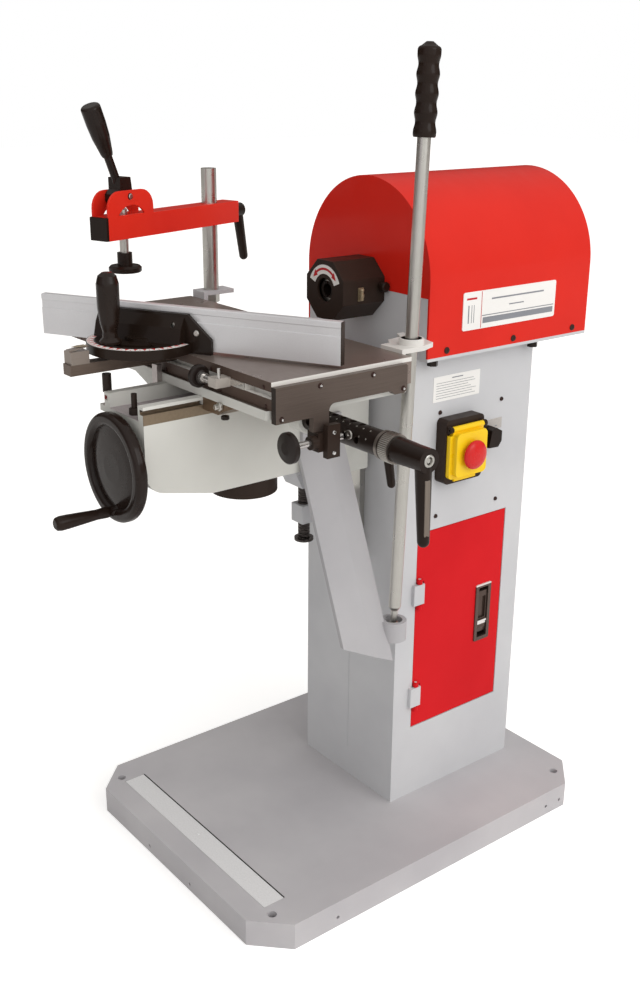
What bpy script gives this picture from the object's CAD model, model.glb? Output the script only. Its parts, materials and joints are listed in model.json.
"""Finishes, small parts and a studio for the slot mortiser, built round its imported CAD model."""

import json
import math

import bmesh
import bpy
from mathutils import Matrix, Vector


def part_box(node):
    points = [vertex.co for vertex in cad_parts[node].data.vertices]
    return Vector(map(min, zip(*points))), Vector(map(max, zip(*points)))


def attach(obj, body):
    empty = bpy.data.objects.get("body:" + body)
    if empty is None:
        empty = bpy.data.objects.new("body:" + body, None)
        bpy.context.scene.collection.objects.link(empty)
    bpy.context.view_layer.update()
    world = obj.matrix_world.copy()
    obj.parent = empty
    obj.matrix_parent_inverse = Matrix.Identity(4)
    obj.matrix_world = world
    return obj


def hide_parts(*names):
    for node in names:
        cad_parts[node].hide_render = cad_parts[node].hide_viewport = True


bl_info = {
    "name": "Slot mortiser studio",
    "version": (1, 0, 0),
    "blender": (4, 5, 0),
    "location": "3D View > Sidebar > Mortiser",
    "description": "Finishes and small parts for a horizontal slot mortiser",
    "category": "Object",
}

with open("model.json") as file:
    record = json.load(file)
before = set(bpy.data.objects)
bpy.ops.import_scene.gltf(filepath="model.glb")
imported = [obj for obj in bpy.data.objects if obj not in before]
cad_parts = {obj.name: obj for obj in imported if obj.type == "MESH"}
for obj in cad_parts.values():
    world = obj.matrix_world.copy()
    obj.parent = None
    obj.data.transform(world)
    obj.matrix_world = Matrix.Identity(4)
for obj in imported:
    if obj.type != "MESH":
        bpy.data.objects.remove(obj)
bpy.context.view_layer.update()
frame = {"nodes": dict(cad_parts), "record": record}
MM = 0.001


# Colours and node trees


def linear(colour):
    """An sRGB hex colour as linear RGBA."""
    parts = [int(colour[i : i + 2], 16) / 255 for i in (1, 3, 5)]
    return [c / 12.92 if c <= 0.04045 else ((c + 0.055) / 1.055) ** 2.4 for c in parts] + [1.0]


def add(tree, kind, values=None, links=None, **settings):
    """Adds a node with its settings, its socket values and its links from (node, output)."""
    node = tree.nodes.new(kind)
    for key, value in settings.items():
        setattr(node, key, value)
    for socket, value in (values or {}).items():
        node.inputs[socket].default_value = value
    for socket, (source, output) in (links or {}).items():
        tree.links.new(source.outputs[output], node.inputs[socket])
    return node


def maths(tree, operation, first, second):
    """One arithmetic node, each side a number or a (node, output)."""
    node = add(tree, "ShaderNodeMath", operation=operation)
    for socket, side in enumerate((first, second)):
        if isinstance(side, tuple):
            tree.links.new(side[0].outputs[side[1]], node.inputs[socket])
        else:
            node.inputs[socket].default_value = side
    return node, 0


def per(size_mm):
    """Texture scale that gives features of this size, in object space."""
    return 1.0 / (size_mm * MM)


def spread(tree, source, low, high, start=0.3, stop=0.7):
    """Maps a 0 to 1 texture value to a range."""
    values = {"From Min": start, "From Max": stop, "To Min": low, "To Max": high}
    return add(tree, "ShaderNodeMapRange", values, {"Value": source}), "Result"


def blank_material(name):
    """An empty node material."""
    material = bpy.data.materials.new(name)
    material.use_nodes = True
    material.node_tree.nodes.clear()
    return material, material.node_tree


def zone_mask(tree, place, limits):
    """1 inside the limits, in mm of the row frame, and 0 outside. "near" is (x, y, radius)."""
    axes = add(tree, "ShaderNodeSeparateXYZ", links={"Vector": (place, "Object")})
    mask = None
    tests = []
    for key, span in limits.items():
        if key == "near":
            flat = add(tree, "ShaderNodeVectorMath", {1: (1, 1, 0)}, {0: (place, "Object")},
                       operation="MULTIPLY")
            away = add(tree, "ShaderNodeVectorMath", {1: (span[0] * MM, span[1] * MM, 0)}, {0: (flat, 0)},
                       operation="DISTANCE")
            tests.append(maths(tree, "LESS_THAN", (away, "Value"), span[2] * MM))
        else:
            tests.append(maths(tree, "GREATER_THAN", (axes, key.upper()), span[0] * MM))
            tests.append(maths(tree, "LESS_THAN", (axes, key.upper()), span[1] * MM))
    for test in tests:
        mask = test if mask is None else maths(tree, "MULTIPLY", mask, test)
    return mask


def around(tree, place, at, times, rise_mm=0.0):
    """A wave that repeats round a vertical axis, and climbs if rise_mm is set, as flutes or a thread do."""
    axes = add(tree, "ShaderNodeSeparateXYZ", links={"Vector": (place, "Object")})
    across = maths(tree, "SUBTRACT", (axes, "X"), at[0] * MM)
    back = maths(tree, "SUBTRACT", (axes, "Y"), at[1] * MM)
    phase = maths(tree, "MULTIPLY", maths(tree, "ARCTAN2", back, across), times)
    if rise_mm:
        climb = maths(tree, "MULTIPLY", (axes, "Z"), 2 * math.pi / (rise_mm * MM))
        phase = maths(tree, "ADD", phase, climb)
    return maths(tree, "SINE", phase, 0.0)


def surface(name, colour, shade, rough, grain, depth, lay=None, metallic=0.0, coat=0.0, wave=None,
            gloss=0.28,
            zones=()):
    """One real finish. grain and depth are its relief in mm, lay the axis along which tool lines run.

    gloss is the strength of the plain reflection. Tone drifts from colour to shade, roughness follows a
    finer cloud, and zones are other finishes on the same part: (limits, colour, roughness, metallic).
    """
    material, tree = blank_material(name)
    place = add(tree, "ShaderNodeTexCoord")
    scale = [per(grain)] * 3
    if lay is not None:
        scale[lay] = per(grain * 60)
    spaced = add(tree, "ShaderNodeMapping", {"Scale": scale}, {"Vector": (place, "Object")})
    fine = add(tree, "ShaderNodeTexNoise", {"Scale": 1.0, "Detail": 3.0}, {"Vector": (spaced, "Vector")})
    drift = add(tree, "ShaderNodeTexNoise", {"Scale": per(140), "Detail": 4.0},
                {"Vector": (place, "Object")})
    cloud = add(tree, "ShaderNodeTexNoise", {"Scale": per(22), "Detail": 6.0},
                {"Vector": (place, "Object")})
    source = (drift, "Fac")
    if lay is not None:
        source = maths(tree, "MULTIPLY", maths(tree, "ADD", (drift, "Fac"), (fine, "Fac")), 0.5)
    tone = add(tree, "ShaderNodeMix", {6: linear(colour), 7: linear(shade)},
               {0: spread(tree, source, 0.0, 1.0)},
               data_type="RGBA")
    base = (tone, 2)
    roughness = spread(tree, (cloud, "Fac"), rough - 0.04, rough + 0.05)
    metal = metallic
    for limits, tint, dull, metallic_there in zones:
        mask = zone_mask(tree, place, limits)
        worn = add(tree, "ShaderNodeMix", {6: linear(tint), 7: [c * 0.8 for c in linear(tint)]},
                   {0: spread(tree, (fine, "Fac"), 0.0, 0.5)}, data_type="RGBA")
        base = (add(tree, "ShaderNodeMix", links={0: mask, 6: base, 7: (worn, 2)}, data_type="RGBA"), 2)
        roughness = (add(tree, "ShaderNodeMix", {3: dull}, {0: mask, 2: roughness}), 0)
        if metallic_there != metallic:
            values = {2: metal, 3: metallic_there} if not isinstance(metal, tuple) else {3: metallic_there}
            links = {0: mask} if not isinstance(metal, tuple) else {0: mask, 2: metal}
            metal = (add(tree, "ShaderNodeMix", values, links), 0)
    bump = add(tree, "ShaderNodeBump", {"Strength": 0.35, "Distance": depth * MM},
               {"Height": (fine, "Fac")})
    if wave:
        at, times, rise, height = wave
        bump = add(tree, "ShaderNodeBump", {"Strength": 1.0, "Distance": height * MM},
                   {"Height": around(tree, place, at, times, rise), "Normal": (bump, "Normal")})
    links = {"Base Color": base, "Roughness": roughness, "Normal": (bump, "Normal")}
    values = {"Coat Weight": coat, "Coat Roughness": 0.12, "Specular IOR Level": gloss}
    if isinstance(metal, tuple):
        links["Metallic"] = metal
    else:
        values["Metallic"] = metal
    shader = add(tree, "ShaderNodeBsdfPrincipled", values, links)
    add(tree, "ShaderNodeOutputMaterial", links={"Surface": (shader, "BSDF")})
    return material


# Every finish of the machine: colour, shade, roughness, grain and relief in mm, then what else it shows

LATCH_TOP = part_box("latch_plate")[1][2] / MM
LATCH_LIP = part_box("latch_handle")[0][2] / MM + 16.0
TOP_EDGE = (LATCH_TOP - 2.6, LATCH_TOP + 1)
FINGER_LIP = (LATCH_LIP - 3.5, LATCH_LIP + 3.5)
SURFACES = {
    # Powder coat on folded steel: matt-satin with a very light orange peel
    "grey powder coat": dict(colour="look.grey", shade="#C2C3C7", rough=0.45, grain=1.6, depth=0.03),
    # The leaning arm has an older, darker batch of the coat
    "grey arm coat": dict(colour="#B8B7BA", shade="#ABAAAE", rough=0.48, grain=1.8, depth=0.04),
    # The same coat on the thick base casting: coarser skin, a warmer and darker tone
    "grey cast base coat": dict(colour="#C4C2C5", shade="#B7B5B9", rough=0.55, grain=2.6, depth=0.08),
    # Stoved enamel on the hood: a broad soft sheen over a deep red
    "red hood enamel": dict(colour="look.red", shade="#D32419", rough=0.36, grain=2.4, depth=0.02,
                            coat=0.08,
                             gloss=0.12),
    # The door is sprayed with the same red, a little deeper
    "red door enamel": dict(colour="#D61F25", shade="#CC1A21", rough=0.4, grain=2.4, depth=0.02,
                            gloss=0.06),
    # Cream machinery enamel over a rough casting, with the ways' faces left as ground iron
    "cream casting enamel": dict(
        colour="look.cream", shade="#CBCBC6", rough=0.42, grain=3.5, depth=0.12, coat=0.1,
        zones=(({"x": (47.2, 60), "z": (657, 674.9)}, "#8A7A66", 0.32, 0.5),
               ({"x": (40.5, 47.2), "z": (672.4, 675)}, "#3B2E25", 0.5, 0.2),
               ({"x": (40.5, 47.2), "z": (669, 672.4)}, "#7C6C5A", 0.4, 0.3),
               ({"x": (-31, 37), "z": (660.5, 661.5)}, "#B5ABAE", 0.35, 0.3))),
    # The saddle is cream too, with brown ground faces under its lips and a bright stop bar
    "cream saddle enamel": dict(
        colour="#D9D9D5", shade="#CDCDC8", rough=0.4, grain=3.0, depth=0.08, coat=0.1,
        zones=(({"x": (48, 118), "z": (660, 679.05)}, "#7A6653", 0.34, 0.5),
               ({"x": (-60, -42), "y": (-270, -255.05)}, "#BDB5B3", 0.3, 0.8),
               ({"z": (689.7, 720), "y": (-254, 0)}, "#8C8078", 0.4, 0.7))),
    # Surface-ground grey iron: brownish, with lines along the table, a dark front edge with a bright slot
    "ground cast iron": dict(
        colour="#9A8D86", shade="#877A73", rough=0.3, grain=0.5, depth=0.01, lay=0, metallic=0.55,
        zones=(({"y": (-251, -249.9), "z": (680, 721.7)}, "#57473F", 0.42, 0.3),
               ({"y": (-249.9, -235.5), "z": (699.5, 714.5)}, "#F4F2EF", 0.4, 0.0),
               ({"x": (177.9, 180), "z": (716.8, 723)}, "#F0EEEA", 0.3, 0.2))),
    # Oiled milled plate on the table's end
    "milled end plate": dict(
        colour="#6B5F58", shade="#5A4F49", rough=0.38, grain=0.7, depth=0.01, lay=1, metallic=0.5,
        zones=(({"y": (-251, -249.9)}, "#2E2622", 0.45, 0.2),)),
    # Turned or drawn bright steel of the rods and posts
    "turned bright steel": dict(colour="#D2D0CB", shade="#BDBBB5", rough=0.3, grain=0.35, depth=0.004,
                                lay=2,
                                metallic=1.0),
    # Chrome plate: mirror-like
    "bright chrome plate": dict(colour="#E4E3E2", shade="#D8D7D6", rough=0.08, grain=1.0, depth=0.001,
                                lay=2,
                                metallic=1.0),
    # Latch frame in smoked chrome: its face reflects dark, its top edge catches the light
    "smoked chrome latch": dict(colour="#6F5F59", shade="#574944", rough=0.16, grain=1.0, depth=0.001,
                                lay=2,
                                metallic=0.6, zones=(({"x": (80, 100.9)}, "#2A201C", 0.5, 0.0),
                                                     ({"z": TOP_EDGE}, "#EDEAE8", 0.2, 0.4))),
    # The paddle is the same chrome with one bright lip where the finger goes
    "smoked chrome paddle": dict(colour="#66564F", shade="#4A3D38", rough=0.18, grain=1.0, depth=0.001,
                                 lay=2,
                                 metallic=0.6, zones=(({"z": FINGER_LIP}, "#F0EEEC", 0.2, 0.3),)),
    # Chemically blackened steel with an oil film
    "blackened oiled steel": dict(colour="#2B2420", shade="#211B18", rough=0.34, grain=0.8, depth=0.008,
                                  lay=2,
                                  metallic=0.4),
    # Small dark screws, red-brown from the paint beside them
    "browned screw steel": dict(colour="#4A3530", shade="#3A2925", rough=0.3, grain=0.4, depth=0.004, lay=1,
                                metallic=0.5),
    # Rolled thread of the lift screw: grey flanks, oil in the roots
    "rolled screw thread": dict(colour="#6E6865", shade="#4A4442", rough=0.3, grain=0.6, depth=0.004, lay=0,
                                metallic=0.8, wave=((3, -71), 1, 5.0, 1.1)),
    # Stop posts: black oxide, the left one on a red lower half
    "black stop post": dict(colour="#332823", shade="#271E1A", rough=0.36, grain=0.7, depth=0.01, lay=2,
                            metallic=0.3,
                            zones=(({"x": (-60, -40), "z": (660, 675.9)}, "#7A2A28", 0.4, 0.0),)),
    # Black gloss enamel on the handwheel and the cam
    "black gloss enamel": dict(colour="#261B17", shade="#1E1511", rough=0.28, grain=2.2, depth=0.03,
                               coat=0.3, gloss=0.1),
    # The mitre casting is enamelled black and wears to grey on its edges
    "black casting enamel": dict(colour="#261C16", shade="#1D1511", rough=0.32, grain=2.6, depth=0.06,
                                 coat=0.2, gloss=0.1),
    # Glass-filled nylon of levers and grips
    "black moulded nylon": dict(colour="#281C16", shade="#1E1511", rough=0.32, grain=0.7, depth=0.012,
                                coat=0.15,
                                gloss=0.12),
    # The same nylon rubbed to grey on a flat that sleeves brush past
    "rubbed nylon": dict(colour="#83796F", shade="#6E645C", rough=0.34, grain=0.7, depth=0.012, lay=2),
    # Fluted tall knob of the mitre gauge
    "fluted black nylon": dict(colour="#281C16", shade="#1D1511", rough=0.26, grain=0.7, depth=0.01,
                               coat=0.3, gloss=0.12,
                               wave=((-46, -321), 7, 0.0, 0.3)),
    # Black thermoplastic of the guard, the switch box and the dust spigot
    "brown-black shell": dict(colour="#362A24", shade="#2B211C", rough=0.38, grain=0.9, depth=0.02,
                              gloss=0.15),
    # Black end disc, chrome hub and bright block of the length stop
    "length stop": dict(
        colour="#D6D3D0", shade="#C2BFBB", rough=0.16, grain=0.4, depth=0.003, lay=0, metallic=0.9,
        zones=(({"x": (40, 64)}, "#221A17", 0.34, 0.0),
               ({"x": (83.9, 101), "y": (-290, -249.9), "z": (695, 712.6)}, "#C4BDB6", 0.3, 0.3),
               ({"x": (83, 130), "y": (-249.9, -230)}, "#EDEAE6", 0.3, 0.3))),
    # Plunger: black dished disc on chrome
    "plunger and disc": dict(
        colour="#D6D3D2", shade="#BFBCBA", rough=0.14, grain=0.4, depth=0.003, lay=1, metallic=0.9,
        zones=(({"y": (-239, -226), "z": (620, 676)}, "#231B18", 0.3, 0.0),)),
    # Index bar: black oxide with a knurled grey collar at its end
    "index bar steel": dict(
        colour="#2E2521", shade="#241C19", rough=0.34, grain=0.5, depth=0.006, lay=0, metallic=0.4,
        zones=(({"x": (240, 263)}, "#8E8781", 0.32, 0.9),
               ({"x": (244.5, 246.5)}, "#2A211D", 0.5, 0.2))),
    # Glossy ABS of the switch parts
    "yellow moulded ABS": dict(colour="look.yellow", shade="#F2C715", rough=0.3, grain=1.4, depth=0.01,
                               coat=0.1),
    "red moulded ABS": dict(colour="#D8201F", shade="#C91B1B", rough=0.26, grain=1.4, depth=0.01, coat=0.2),
    "green moulded ABS": dict(colour="#1E8A3C", shade="#187533", rough=0.3, grain=1.4, depth=0.01,
                              coat=0.2),
    # Drawn aluminium fence: long draw lines
    "drawn aluminium": dict(colour="#E4E5E8", shade="#D2D1D4", rough=0.34, grain=0.4, depth=0.004, lay=0,
                            metallic=0.35),
    # Printed label stock with a satin film
    "white label film": dict(colour="#F1F0EE", shade="#E9E8E6", rough=0.4, grain=2.0, depth=0.004,
                             zones=(({"z": (0, 40)}, "#E6E6E8", 0.3, 0.0),
                                    ({"x": (101.9, 103), "y": (154, 198), "z": (573, 590)}, "#B9B4B0", 0.4,
                                     0.0))),
    "grey print": dict(colour="#8E9198", shade="#7E8188", rough=0.45, grain=1.0, depth=0.002),
    "red print": dict(colour="#C8202A", shade="#B91C26", rough=0.45, grain=1.0, depth=0.002),
    # Enamel of the motor under the hood
    "motor enamel": dict(colour="#70767B", shade="#646A6F", rough=0.45, grain=2.0, depth=0.06),
    # Gloss red on the clamp arm
    "red arm enamel": dict(colour="#E8331F", shade="#DA2B20", rough=0.34, grain=2.0, depth=0.03, coat=0.1,
                           gloss=0.15),
    # White paint of the lever's bracket, black rubber inside its bush
    "white bracket enamel": dict(colour="#E6E4E1", shade="#DAD8D4", rough=0.38, grain=2.0, depth=0.05,
                                 coat=0.1,
                                 zones=(({"near": (144, -16, 12.7)}, "#2A2422", 0.6, 0.0),)),
    # Dark oiled flat bar of the mitre gauge, with a lighter milled pointer block
    "oiled gauge bar": dict(
        colour="#7B6C62", shade="#5F534C", rough=0.34, grain=0.6, depth=0.01, lay=1, metallic=0.6,
        zones=(({"y": (-377, -352), "z": (716, 740)}, "#9B9088", 0.3, 0.6),)),
    # Yellow-grey natural finish of small catches
    "natural zinc": dict(colour="#A8987E", shade="#8E7F68", rough=0.34, grain=0.5, depth=0.004, lay=2,
                         metallic=0.6),
    # Soft black rubber
    "black rubber": dict(colour="#262120", shade="#1D1918", rough=0.65, grain=1.0, depth=0.02),
}


def finish(name):
    """The material of that name, made when it is first asked for."""
    if name not in bpy.data.materials:
        spec = dict(SURFACES[name])
        if spec["colour"].startswith("look."):
            spec["colour"] = getattr(bpy.context.scene.mortiser_look, spec["colour"][5:])
        surface(name, **spec)
    return bpy.data.materials[name]


# Finish of each CAD node and its edge radius in mm, None for the big sheets that stay as they are

FINISHES = {
    "base_tray": ("grey cast base coat", None),
    "column": ("grey powder coat", None),
    "column_bolts": ("blackened oiled steel", 0.4),
    "motor_plate": ("grey powder coat", None),
    "hood": ("red hood enamel", None),
    "cover_screws": ("browned screw steel", 0.0),
    "blank_plates": ("white label film", 0.0),
    "motor_body": ("motor enamel", 0.0),
    "vertical_guide": ("turned bright steel", 0.5),
    "lift_nut": ("grey powder coat", 1.0),
    "door_hinges": ("grey powder coat", 0.6),
    "switch_box": ("brown-black shell", 0.5),
    "motor_shaft": ("turned bright steel", 0.0),
    "chuck_body": ("turned bright steel", 0.3),
    "chuck_jaw_left": ("blackened oiled steel", 0.3),
    "chuck_jaw_right": ("blackened oiled steel", 0.3),
    "chuck_guard": ("brown-black shell", 0.6),
    "guard_thumb_screw": ("black moulded nylon", 0.3),
    "door": ("red door enamel", None),
    "latch_plate": ("smoked chrome latch", 0.3),
    "latch_handle": ("smoked chrome paddle", 0.3),
    "switch_flap": ("yellow moulded ABS", 0.8),
    "stop_button": ("red moulded ABS", 0.3),
    "start_button": ("green moulded ABS", 0.3),
    "rotary_switch": ("black moulded nylon", 0.8),
    "knee_housing": ("cream casting enamel", 1.0),
    "dust_port": ("brown-black shell", 0.5),
    "screw_bearing": ("grey powder coat", 1.0),
    "lever_arm": ("grey arm coat", 1.0),
    "stop_posts": ("black stop post", 0.5),
    "z_lock_lever": ("black moulded nylon", 0.6),
    "handwheel": ("black gloss enamel", 0.0),
    "handwheel_shaft": ("turned bright steel", 0.0),
    "crank_handle": ("black moulded nylon", 0.3),
    "lift_screw": ("rolled screw thread", 0.0),
    "saddle": ("cream saddle enamel", 0.8),
    "index_bar": ("index bar steel", 0.3),
    "index_lever": ("black moulded nylon", 0.5),
    "table_top": ("ground cast iron", 0.6),
    "side_plate": ("milled end plate", 0.6),
    "side_plate_screws": ("browned screw steel", 0.0),
    "plunger_block": ("brown-black shell", 0.6),
    "lever_bracket": ("white bracket enamel", 0.8),
    "post_bracket": ("grey powder coat", 0.8),
    "clamp_post": ("turned bright steel", 0.8),
    "index_plunger": ("plunger and disc", 0.3),
    "x_stop": ("length stop", 0.3),
    "clamp_arm": ("red arm enamel", 0.5),
    "arm_cap": ("black moulded nylon", 0.8),
    "cam_lever": ("black gloss enamel", 0.5),
    "press_rod": ("turned bright steel", 0.4),
    "press_pad": ("black moulded nylon", 0.3),
    "arm_lock_lever": ("black moulded nylon", 0.6),
    "mitre_bar": ("oiled gauge bar", 0.5),
    "mitre_head": ("black casting enamel", 0.8),
    "mitre_handle": ("fluted black nylon", 0.3),
    "fence": ("drawn aluminium", 0.3),
    "lever_ball": ("turned bright steel", 0.0),
    "control_rod": ("turned bright steel", 0.4),
    "control_grip": ("black moulded nylon", 0.3),
}


# Shapes of the added pieces, in mm of the row frame


def facing(way, at):
    """Place of a shape whose local +Z looks that way."""
    turns = {"+Z": (0, "X"), "-Z": (180, "X"), "+X": (90, "Y"), "-X": (-90, "Y"), "-Y": (90, "X"),
             "+Y": (-90, "X")}
    degrees, axis = turns[way]
    return Matrix.Translation(at) @ Matrix.Rotation(math.radians(degrees), 4, axis)


def pointing(start, end):
    """Place of a shape whose local +Z runs from start towards end."""
    way = Vector(end) - Vector(start)
    return Matrix.Translation(start) @ way.to_track_quat("Z", "X").to_matrix().to_4x4()


def outline(points, height, place):
    """A flat outline in local X and Y, raised along local Z."""

    def build(form):
        rings = [[form.verts.new(place @ Vector((x, y, z))) for x, y in points] for z in (0.0, height)]
        form.faces.new(rings[0][::-1])
        form.faces.new(rings[1])
        for i in range(len(points)):
            j = (i + 1) % len(points)
            form.faces.new((rings[0][i], rings[0][j], rings[1][j], rings[1][i]))

    return build


def block(x, y, z, place=None):
    """A block by its limits."""
    corners = [(x[0], y[0]), (x[1], y[0]), (x[1], y[1]), (x[0], y[1])]
    return outline(corners, z[1] - z[0], (place or Matrix()) @ Matrix.Translation((0, 0, z[0])))


def turned(profile, place, turns=40):
    """A turned shape: its profile is (radius, height) along local Z."""

    def build(form):
        rings = []
        for radius, height in profile:
            if radius == 0:
                rings.append([form.verts.new(place @ Vector((0, 0, height)))])
            else:
                angles = [2 * math.pi * i / turns for i in range(turns)]
                rings.append([form.verts.new(place @ Vector((radius * math.cos(a), radius * math.sin(a),
                                                             height)))
                              for a in angles])
        for low, high in zip(rings, rings[1:]):
            for i in range(turns):
                j = (i + 1) % turns
                corners = [low[i % len(low)], low[j % len(low)], high[j % len(high)], high[i % len(high)]]
                form.faces.new(list(dict.fromkeys(corners)))
        for ring in (rings[0], rings[-1]):
            if len(ring) > 1 and profile[0] != profile[-1]:
                form.faces.new(ring)

    return build


def band(inner, outer, start, stop, height, place, steps=24):
    """Part of a flat ring, its angles in degrees."""
    angles = [math.radians(start + (stop - start) * i / steps) for i in range(steps + 1)]
    points = [(outer * math.cos(a), outer * math.sin(a)) for a in angles]
    points += [(inner * math.cos(a), inner * math.sin(a)) for a in reversed(angles)]
    return outline(points, height, place)


def screw_head(way, at, radius, rise):
    """A pan head with its rim rounded."""
    place = facing(way, at)
    return turned([(radius, 0), (radius, rise * 0.35), (radius * 0.8, rise * 0.85), (radius * 0.5, rise),
                   (0, rise)],
                  place, 24)


def piece(name, body, finish_name, shapes, edge=0.0):
    """One added piece: built in mm, finished, and riding on its body."""
    mesh = bpy.data.meshes.new(name)
    form = bmesh.new()
    for shape in shapes:
        shape(form)
    bmesh.ops.scale(form, vec=(MM, MM, MM), verts=form.verts)
    bmesh.ops.recalc_face_normals(form, faces=form.faces)
    form.to_mesh(mesh)
    form.free()
    mesh.materials.append(finish(finish_name))
    thing = bpy.data.objects.new(name, mesh)
    bpy.context.scene.collection.objects.link(thing)
    mesh.shade_smooth()
    mesh.set_sharp_from_angle(angle=math.radians(35))
    if edge:
        bevel = thing.modifiers.new("edge radius", "BEVEL")
        bevel.width = edge * MM
        bevel.segments = 2
        bevel.limit_method = "ANGLE"
    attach(thing, body)
    return thing


def round_edges(part, radius_mm):
    """Rounded edges from modifiers, so the vertices stay as they are."""
    weld = part.modifiers.new("weld", "WELD")
    weld.merge_threshold = 0.01 * MM
    if radius_mm:
        bevel = part.modifiers.new("edge radius", "BEVEL")
        bevel.width = radius_mm * MM
        bevel.segments = 2
        bevel.limit_method = "ANGLE"
        bevel.angle_limit = math.radians(32)
    normals = part.modifiers.new("face normals", "WEIGHTED_NORMAL")
    normals.keep_sharp = True


def body_of(node):
    """The moving body that holds a CAD node."""
    return next(body for body, nodes in frame["record"]["behaviour"]["bodies"].items() if node in nodes)


def on(node, name, finish_name, shapes, edge=0.0):
    """A piece that rides with a CAD node and takes a node's material slot."""
    return piece(name, body_of(node), finish_name, shapes, edge)


# Places that come back, in mm, measured on the CAD nodes

ARM_TURN = Matrix.Rotation(math.radians(107.2), 4, "Z")
ON_ARM = Matrix.Translation((-284, -24, 0)) @ ARM_TURN @ Matrix.Translation((-220, 0, 0))
ON_HEAD = Matrix.Translation((-46, -279, 722)) @ Matrix.Rotation(math.radians(28.1), 4, "Z")
SPINDLE_X, SPINDLE_Z = 3, 774.5
GUARD_FRONT = -39.0
BAR_Y, BAR_Z = -140, 647
HUB_FACE = 309.0
TABLE_FRONT = -250.0
END_PLATE = 187.85
HOOD_SIDE, PANEL_SIDE = 125.0, 101.5
HOOD_LABEL, COLUMN_LABEL, SELECTOR_LABEL = (126.0, 126.12), (102.0, 102.1), (102.5, 102.6)
HOOD_SCREWS = [(y, 705.0) for y in (63, 185, 303)]
PANEL_SCREWS = [(y, z) for y in (79, 195) for z in (469, 615)]


class Look(bpy.types.PropertyGroup):
    """Colours a user would change."""

    red: bpy.props.StringProperty(name="Hood red", description="Hood enamel, sRGB hex", default="#DC291D")
    grey: bpy.props.StringProperty(name="Grey coat", description="Column and plate, sRGB hex",
                                   default="#CDCED1")
    cream: bpy.props.StringProperty(name="Knee enamel", description="Knee casting, sRGB hex",
                                    default="#D6D6D1")
    yellow: bpy.props.StringProperty(name="Switch yellow", description="Switch flap, sRGB hex",
                                     default="#FAD21C")


class Studio(bpy.types.PropertyGroup):
    """Camera and light."""

    lens: bpy.props.FloatProperty(name="Lens", description="Focal length on the long side, in mm",
                                  default=42.9, unit="CAMERA")
    sky: bpy.props.FloatProperty(name="Sky light", description="Strength of the even light", default=0.62,
                                 min=0.0)
    key: bpy.props.FloatProperty(name="Key light", description="Power of the main lamp, in watts",
                                 default=14.0, min=0.0)


class MORTISER_OT_finishes(bpy.types.Operator):
    """Real finishes and rounded edges on the carried-over CAD nodes"""

    bl_idname = "mortiser.finishes"
    bl_label = "Finishes of the CAD nodes"

    def execute(self, context):
        if set(FINISHES) != set(frame["nodes"]):
            raise ValueError(f"finishes missing or spare: {set(FINISHES) ^ set(frame['nodes'])}")
        for node, (name, radius) in FINISHES.items():
            part = frame["nodes"][node]
            part.data.materials.clear()
            part.data.materials.append(finish(name))
            if radius is not None:
                round_edges(part, radius)
        return {"FINISHED"}


class MORTISER_OT_labels(bpy.types.Operator):
    """Plain printed fields on the label plates, with no lettering"""

    bl_idname = "mortiser.labels"
    bl_label = "Label print"

    def execute(self, context):
        on("blank_plates", "hood_label_red_print", "red print", [
            block(HOOD_LABEL, (120.4, 121.4), (727, 774)),
            block(HOOD_LABEL, (94, 112), (765, 767.5)),
        ])
        stripes = [block(HOOD_LABEL, (122.5, 259), (742.0, 743.2)),
                   block(HOOD_LABEL, (124, 258), (732.5, 740))]
        stripes += [block(HOOD_LABEL, (139, 238), (762, 764)), block(HOOD_LABEL, (172, 200), (751.5, 753))]
        stripes += [block(HOOD_LABEL, (97, 99), (735, 758)), block(HOOD_LABEL, (103, 104), (735, 758)),
                    block(HOOD_LABEL, (107, 108), (735, 758))]
        on("blank_plates", "hood_label_grey_print", "grey print", stripes)
        rows = [block(COLUMN_LABEL, (98, 118), (659, 660.4))]
        ends = (138, 141, 128, 133, 143, 136, 142)
        rows += [block(COLUMN_LABEL, (70, end), (654.6 - 3.4 * i, 655.2 - 3.4 * i)) for i,
                 end in enumerate(ends)]
        on("blank_plates", "column_label_print", "grey print", rows)
        on("blank_plates", "selector_label_print", "grey print", [
            block(SELECTOR_LABEL, (160, 161.4), (582, 586.5)),
            block(SELECTOR_LABEL, (184, 188.5), (577.5, 579)),
        ])
        on("blank_plates", "base_label_edge", "black rubber", [
            outline([(-179.4, -234.2), (175.4, -234.2), (175.4, -232.55), (-179.4, -232.55)], 0.35,
                    Matrix.Translation((0, 0, 37.8))),
        ])
        return {"FINISHED"}


class MORTISER_OT_cover_details(bpy.types.Operator):
    """Pan heads with cross recesses on the hood and the switch panel"""

    bl_idname = "mortiser.cover_details"
    bl_label = "Cover screws"

    def execute(self, context):
        heads = []
        slots = []
        for spots, face, radius, rise in ((HOOD_SCREWS, HOOD_SIDE, 4.4, 2.2),
                                          (PANEL_SCREWS, PANEL_SIDE, 3.0, 2.2)):
            for y, z in spots:
                heads.append(screw_head("+X", (face, y, z), radius, rise))
                top = face + rise
                reach = radius * 0.45
                slots.append(block((top, top + 0.12), (y - reach, y + reach), (z - 0.4, z + 0.4)))
                slots.append(block((top + 0.01, top + 0.13), (y - 0.4, y + 0.4), (z - reach, z + reach)))
        pan_heads = on("cover_screws", "cover_screw_heads", "browned screw steel", heads)
        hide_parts("cover_screws")
        on("cover_screws", "cover_screw_recesses", "black rubber", slots)
        return {"FINISHED"}


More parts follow.
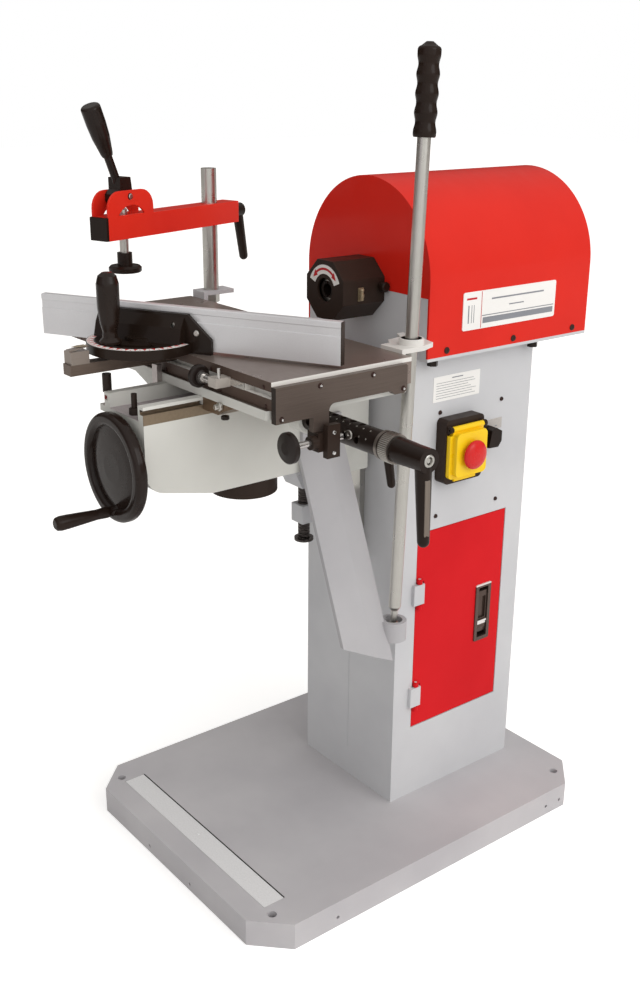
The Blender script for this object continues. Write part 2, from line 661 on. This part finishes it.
class MORTISER_OT_guard_details(bpy.types.Operator):
    """Turning-direction label and spring catch on the chuck guard"""

    bl_idname = "mortiser.guard_details"
    bl_label = "Guard label and catch"

    def execute(self, context):
        face = facing("-Y", (SPINDLE_X, GUARD_FRONT, SPINDLE_Z))
        on("chuck_guard", "direction_label", "white label film", [band(20.5, 32.0, 22, 158, 0.25, face)])
        ring = facing("-Y", (SPINDLE_X, GUARD_FRONT - 0.25, SPINDLE_Z))
        arrow = [band(25.2, 28.2, 52, 128, 0.12, ring, 16)]
        for side in (1, -1):
            tip = math.radians(90 + side * 58)
            root = math.radians(90 + side * 38)
            points = [(26.7 * math.cos(tip), 26.7 * math.sin(tip)),
                      (22.4 * math.cos(root), 22.4 * math.sin(root)),
                      (31.0 * math.cos(root), 31.0 * math.sin(root))]
            arrow.append(outline(points if side > 0 else points[::-1], 0.12, ring))
        on("chuck_guard", "direction_arrow", "red print", arrow)
        pin = facing("+Z", (43.6, -11.0, 764.0))
        on("chuck_guard", "guard_catch", "natural zinc", [
            turned([(0, 0), (2.2, 0), (2.8, 0.6), (2.8, 4.0), (3.4, 4.4), (3.4, 8.0), (2.6, 8.6),
                    (2.6, 11.4),
                    (3.1, 12), (3.1, 14), (2.4, 15), (0, 15)], pin, 24),
            block((40.2, 42.2), (-15.0, -7.0), (763, 780)),
        ])
        return {"FINISHED"}


class MORTISER_OT_table_details(bpy.types.Operator):
    """Gib screws along the table's front edge and recesses of the end plate's screws"""

    bl_idname = "mortiser.table_details"
    bl_label = "Table screws"

    def execute(self, context):
        heads = [screw_head("-Y", (x, TABLE_FRONT, 714.2), 2.6, 0.8) for x in (-240, -130, -20, 60, 163.8)]
        heads += [screw_head("-Y", (x, TABLE_FRONT, 693.4), 2.6, 0.8) for x in (-262, -150, -40, 78.3,
                                                                                167.6)]
        on("table_top", "gib_screws", "browned screw steel", heads)
        glints = []
        for y, z in ((-189, 711), (-112, 712), (-242, 681), (-65, 688.5)):
            glints.append(turned([(1.5, 0), (1.5, 0.35), (0.9, 0.6), (0, 0.6)],
                                 facing("+X", (END_PLATE, y, z)), 20))
        on("side_plate", "end_plate_screw_points", "bright chrome plate", glints)
        return {"FINISHED"}


class MORTISER_OT_saddle_details(bpy.types.Operator):
    """Clamping screw with its washer and nut under the saddle's lip"""

    bl_idname = "mortiser.saddle_details"
    bl_label = "Saddle screw"

    def execute(self, context):
        on("saddle", "lip_screw_washer", "turned bright steel", [
            turned([(0, 0), (4.6, 0), (5.2, 0.6), (5.2, 3.4), (4.4, 4.2), (3.2, 4.2), (3.2, 8.5),
                    (2.4, 9.3), (0, 9.3)],
                   facing("-Y", (86.5, -255.0, 676.0)), 28),
        ])
        nut = [(5.0 * math.cos(math.radians(60 * i)),
                5.0 * math.sin(math.radians(60 * i))) for i in range(6)]
        on("saddle", "lip_screw_nut", "blackened oiled steel", [
            outline(nut, 4.5, Matrix.Translation((86.3, -249.5, 659.4))),
        ], edge=0.4)
        return {"FINISHED"}


class MORTISER_OT_index_details(bpy.types.Operator):
    """Row marks and knurl of the index bar, the lever's land and button, block screws and plunger ball"""

    bl_idname = "mortiser.index_details"
    bl_label = "Index bar details"

    def execute(self, context):
        dots = []
        for x in range(128, 236, 12):
            for angle in (20, 62):
                turn = math.radians(angle)
                centre = (x, BAR_Y - 15.0 * math.cos(turn), BAR_Z + 15.0 * math.sin(turn))
                outside = (x, BAR_Y - 17.0 * math.cos(turn), BAR_Z + 17.0 * math.sin(turn))
                dots.append(turned([(1.1, 0), (1.1, 0.15), (0.6, 0.4), (0, 0.4)],
                                   pointing(centre, outside), 12))
        on("index_bar", "index_row_marks", "turned bright steel", dots)
        ridges = []
        for i in range(48):
            turn = 2 * math.pi * i / 48
            centre = (248.0, BAR_Y + 16.95 * math.cos(turn), BAR_Z + 16.95 * math.sin(turn))
            ridges.append(block((-0.45, 0.45), (-0.35, 0.35), (0, 12.5),
                                Matrix.Translation(centre) @ Matrix.Rotation(math.radians(90), 4, "Y")))
        on("index_bar", "index_collar_knurl", "turned bright steel", ridges)
        on("index_lever", "index_button_ring", "turned bright steel", [
            turned([(7.3, 0), (7.3, 4.2), (6.5, 4.8), (4.6, 4.8), (4.2, 4.2), (4.2, 0), (7.3, 0)],
                   facing("+X", (HUB_FACE, BAR_Y, BAR_Z)), 36),
            turned([(0, 3.0), (2.6, 3.0), (3.2, 2.4), (3.2, 0), (0, 0)],
                   facing("+X", (HUB_FACE, BAR_Y, BAR_Z)), 28),
        ])
        lean = Matrix.Translation((303.5, BAR_Y, BAR_Z)) @ Matrix.Rotation(math.radians(177), 4, "Y")
        land = [(22, 9.2), (24, 9.8), (84, 7.6), (87, 7.0), (84, 6.2), (22, 8.3)]
        side = lean @ Matrix.Rotation(math.radians(192), 4, "Z") @ Matrix.Rotation(math.radians(90), 4, "X")
        on("index_lever", "index_lever_land", "rubbed nylon",
           [outline([(out, down) for down, out in land], 6.4, side @ Matrix.Translation((0, 0, -3.2)))],
           edge=0.3)
        screws = [screw_head("+X", (200.0, -180, z), 2.6, 1.6) for z in (635, 659)]
        on("plunger_block", "plunger_block_screws", "bright chrome plate", screws)
        on("plunger_block", "plunger_block_washer", "turned bright steel", [
            turned([(2.0, 0), (5.0, 0), (5.4, 0.5), (5.4, 1.5), (5.0, 2.0), (2.0, 2.0), (2.0, 0)],
                   facing("-Y", (206.5, -163, 655)), 28),
        ])
        on("index_plunger", "plunger_ball", "bright chrome plate", [
            turned([(3.0, 0), (5.4, 1.2), (6.4, 3.6), (5.4, 6.0), (3.0, 7.2), (3.0, 0)],
                   facing("+Y", (186, -230.0, BAR_Z)), 32),
        ])
        return {"FINISHED"}


class MORTISER_OT_clamp_details(bpy.types.Operator):
    """Heads of the cam's pin"""

    bl_idname = "mortiser.clamp_details"
    bl_label = "Clamp details"

    def execute(self, context):
        heads = []
        for side in (1, -1):
            at = ON_ARM @ Vector((42, side * 15.4, 880.5))
            out = ON_ARM @ Vector((42, side * 20.0, 880.5))
            heads.append(turned([(0, 0), (3.4, 0), (3.6, 0.4), (3.6, 1.0), (2.8, 1.8), (0, 1.8)],
                                pointing(at, out), 32))
        on("cam_lever", "cam_pin_heads", "turned bright steel", heads)
        return {"FINISHED"}


class MORTISER_OT_mitre_details(bpy.types.Operator):
    """Protractor scale, fence end, wall screws and the pointer's brass arrow"""

    bl_idname = "mortiser.mitre_details"
    bl_label = "Mitre gauge details"

    def execute(self, context):
        lift = Matrix.Translation((0, 0, 12.0))
        on("mitre_head", "protractor_band", "white label film",
           [band(57, 65.2, -178, -2, 0.2, ON_HEAD @ lift, 48)])
        ticks = []
        for i in range(35):
            turn = ON_HEAD @ lift @ Matrix.Rotation(math.radians(-175 + 5 * i), 4, "Z")
            if i % 2:
                ticks.append(block((61.0, 64.6), (-0.4, 0.4), (0.2, 0.3), turn))
            else:
                wedge = [(57.3, -2.6), (62.4, -0.5), (64.6, -0.5), (64.6, 0.5), (62.4, 0.5), (57.3, 2.6)]
                ticks.append(outline(wedge, 0.1, turn @ Matrix.Translation((0, 0, 0.2))))
        on("mitre_head", "protractor_ticks", "red print", ticks)
        end = [(7.9, 3.5), (17.2, 3.5), (17.2, 53.1), (8.9, 53.1), (7.9, 52.0)]
        face = ON_HEAD @ Matrix.Translation((255.0, 0, 0)) @ Matrix.Rotation(math.radians(90), 4,
                                                                             "Z") @ Matrix.Rotation(
            math.radians(90), 4, "X")
        on("fence", "fence_end_cap", "brown-black shell", [outline(end, 1.0, face)], edge=0.2)
        spots = [ON_HEAD @ Vector((u, 2.5, h)) for u, h in ((-45, 33), (45, 33), (74, 25))]
        outs = [ON_HEAD @ Vector((u, 0.0, h)) for u, h in ((-45, 33), (45, 33), (74, 25))]
        on("mitre_head", "fence_bolts", "turned bright steel", [
            turned([(3.6, 0), (3.6, 1.2), (2.8, 1.9), (0, 1.9)], pointing(s, o), 24) for s, o in zip(spots,
                                                                                                     outs)
        ])
        on("mitre_bar", "pointer_arrow", "natural zinc", [
            outline([(-52, -353), (-44, -353), (-44, -362), (-48, -371), (-52, -362)], 0.6,
                    Matrix.Translation((0, 0, 735.45))),
        ])
        return {"FINISHED"}


class MORTISER_OT_stage(bpy.types.Operator):
    """Floor, soft light and the camera at the photograph's angle"""

    bl_idname = "mortiser.stage"
    bl_label = "Stage, lights and camera"

    def execute(self, context):
        studio = context.scene.mortiser_studio
        floor_mesh = bpy.data.meshes.new("floor")
        half = 14.0
        floor_mesh.from_pydata([(-half, -half, 0), (half, -half, 0), (half, half, 0), (-half, half, 0)],
                               [], [(0, 1, 2, 3)])
        floor = bpy.data.objects.new("floor", floor_mesh)
        context.scene.collection.objects.link(floor)
        material, tree = blank_material("white studio floor")
        seen = add(tree, "ShaderNodeLightPath")
        glow = maths(tree, "MULTIPLY", (seen, "Is Camera Ray"), 0.45)
        matt = add(tree, "ShaderNodeBsdfPrincipled",
                   {"Base Color": linear("#F4F4F4"), "Roughness": 0.9, "Emission Color": (1, 1, 1, 1)},
                   {"Emission Strength": glow})
        add(tree, "ShaderNodeOutputMaterial", links={"Surface": (matt, "BSDF")})
        floor_mesh.materials.append(material)
        self.light_world(context, studio)
        target = Vector((0.0, -0.05, 0.6))
        # One large soft box on the machine's right gives the sheen on the hood's curve
        for name, at, size, power in (
            ("key", (2.4, 0.4, 2.1), 1.6, studio.key),
            ("front strip", (0.6, -2.6, 1.5), 0.8, studio.key * 0.1),
        ):
            lamp = bpy.data.lights.new(name, "AREA")
            lamp.size = size
            lamp.energy = power
            holder = bpy.data.objects.new(name, lamp)
            holder.location = at
            holder.rotation_euler = (target - Vector(at)).to_track_quat("-Z", "Y").to_euler()
            context.scene.collection.objects.link(holder)
        self.place_camera(context, studio)
        context.scene.view_settings.view_transform = "Standard"
        return {"FINISHED"}

    def light_world(self, context, studio):
        """Even light that is stronger from the right, and a banded room for reflections only."""
        world = context.scene.world or bpy.data.worlds.new("studio")
        context.scene.world = world
        world.use_nodes = True
        tree = world.node_tree
        tree.nodes.clear()
        place = add(tree, "ShaderNodeTexCoord")
        lean = add(tree, "ShaderNodeVectorMath", {1: (0.62, 0.15, 0.30)}, {0: (place, "Generated")},
                   operation="DOT_PRODUCT")
        sky = maths(tree, "MAXIMUM", maths(tree, "ADD", (lean, "Value"), 0.60), 0.12)
        soft = add(tree, "ShaderNodeBackground", {"Color": linear("#FFFCF8")},
                   {"Strength": maths(tree, "MULTIPLY", sky, studio.sky / 0.62)})
        axes = add(tree, "ShaderNodeSeparateXYZ", links={"Vector": (place, "Generated")})
        azimuth = maths(tree, "ARCTAN2", (axes, "Y"), (axes, "X"))
        turn = maths(tree, "ADD", maths(tree, "DIVIDE", azimuth, 2 * math.pi), 0.5)
        ramp = add(tree, "ShaderNodeValToRGB", links={"Fac": turn})
        ramp.color_ramp.interpolation = "EASE"
        stops = ((0.0, "#3A312C"), (0.19, "#3A312C"), (0.21, "#A79FA4"), (0.31, "#A79FA4"),
                 (0.33, "#F6F5F3"),
                 (0.55, "#F6F5F3"), (0.57, "#8F857C"), (0.68, "#8F857C"), (0.71, "#3A312C"), (1.0,
                                                                                              "#3A312C"))
        elements = ramp.color_ramp.elements
        while len(elements) < len(stops):
            elements.new(1.0)
        for element, (position, colour) in zip(elements, stops):
            element.position = position
            element.color = linear(colour)
        upward = add(tree, "ShaderNodeMapRange",
                     {"From Min": 0.1, "From Max": 0.9, "To Min": 0.0, "To Max": 0.85},
                     {"Value": (axes, "Z")})
        room = add(tree, "ShaderNodeMix", {7: linear("#ECEBE9")},
                   {0: (upward, "Result"), 6: (ramp, "Color")}, data_type="RGBA")
        mirror = add(tree, "ShaderNodeBackground", {"Strength": 1.0}, {"Color": (room, 2)})
        white = add(tree, "ShaderNodeBackground", {"Color": (1, 1, 1, 1), "Strength": 1.0})
        seen = add(tree, "ShaderNodeLightPath")
        behind = maths(tree, "MAXIMUM", (seen, "Is Camera Ray"), (seen, "Is Transmission Ray"))
        lit = add(tree, "ShaderNodeMixShader",
                  links={0: (seen, "Is Glossy Ray"), 1: (soft, "Background"), 2: (mirror, "Background")})
        mix = add(tree, "ShaderNodeMixShader", links={0: behind, 1: (lit, 0), 2: (white, "Background")})
        add(tree, "ShaderNodeOutputWorld", links={"Surface": (mix, "Shader")})

    def place_camera(self, context, studio):
        camera = bpy.data.cameras.new("camera")
        camera.lens = studio.lens
        camera.sensor_width = 36.0
        camera.shift_x = -0.0024
        camera.shift_y = 0.0080
        camera.clip_end = 60.0
        yaw, pitch, roll = 0.8998, -0.3541, 0.0087
        ahead = Vector((-math.sin(yaw) * math.cos(pitch), math.cos(yaw) * math.cos(pitch), math.sin(pitch)))
        level = Vector((math.cos(yaw), math.sin(yaw), 0.0))
        upright = level.cross(ahead)
        right = math.cos(roll) * level + math.sin(roll) * upright
        up = -math.sin(roll) * level + math.cos(roll) * upright
        holder = bpy.data.objects.new("camera", camera)
        turn = Matrix((right, up, -ahead)).transposed().to_4x4()
        holder.matrix_world = Matrix.Translation((1.1769, -0.9714, 1.0415)) @ turn
        context.scene.collection.objects.link(holder)
        context.scene.camera = holder


class MORTISER_PT_panel(bpy.types.Panel):
    """Lists the build steps"""

    bl_idname = "MORTISER_PT_panel"
    bl_label = "Slot mortiser"
    bl_space_type = "VIEW_3D"
    bl_region_type = "UI"
    bl_category = "Mortiser"

    def draw(self, context):
        for group in (context.scene.mortiser_look, context.scene.mortiser_studio):
            for name in group.__annotations__:
                self.layout.prop(group, name)
        for step in STEPS:
            self.layout.operator(step.bl_idname)


STEPS = (
    MORTISER_OT_finishes,
    MORTISER_OT_labels,
    MORTISER_OT_cover_details,
    MORTISER_OT_guard_details,
    MORTISER_OT_table_details,
    MORTISER_OT_saddle_details,
    MORTISER_OT_index_details,
    MORTISER_OT_clamp_details,
    MORTISER_OT_mitre_details,
    MORTISER_OT_stage,
)
CLASSES = (Look, Studio, *STEPS, MORTISER_PT_panel)


def register():
    for cls in CLASSES:
        bpy.utils.register_class(cls)
    bpy.types.Scene.mortiser_look = bpy.props.PointerProperty(type=Look)
    bpy.types.Scene.mortiser_studio = bpy.props.PointerProperty(type=Studio)


def unregister():
    del bpy.types.Scene.mortiser_studio
    del bpy.types.Scene.mortiser_look
    for cls in reversed(CLASSES):
        bpy.utils.unregister_class(cls)


def main():
    register()
    for step in STEPS:
        group, name = step.bl_idname.split(".")
        getattr(getattr(bpy.ops, group), name)()


if __name__ == "__main__":
    main()
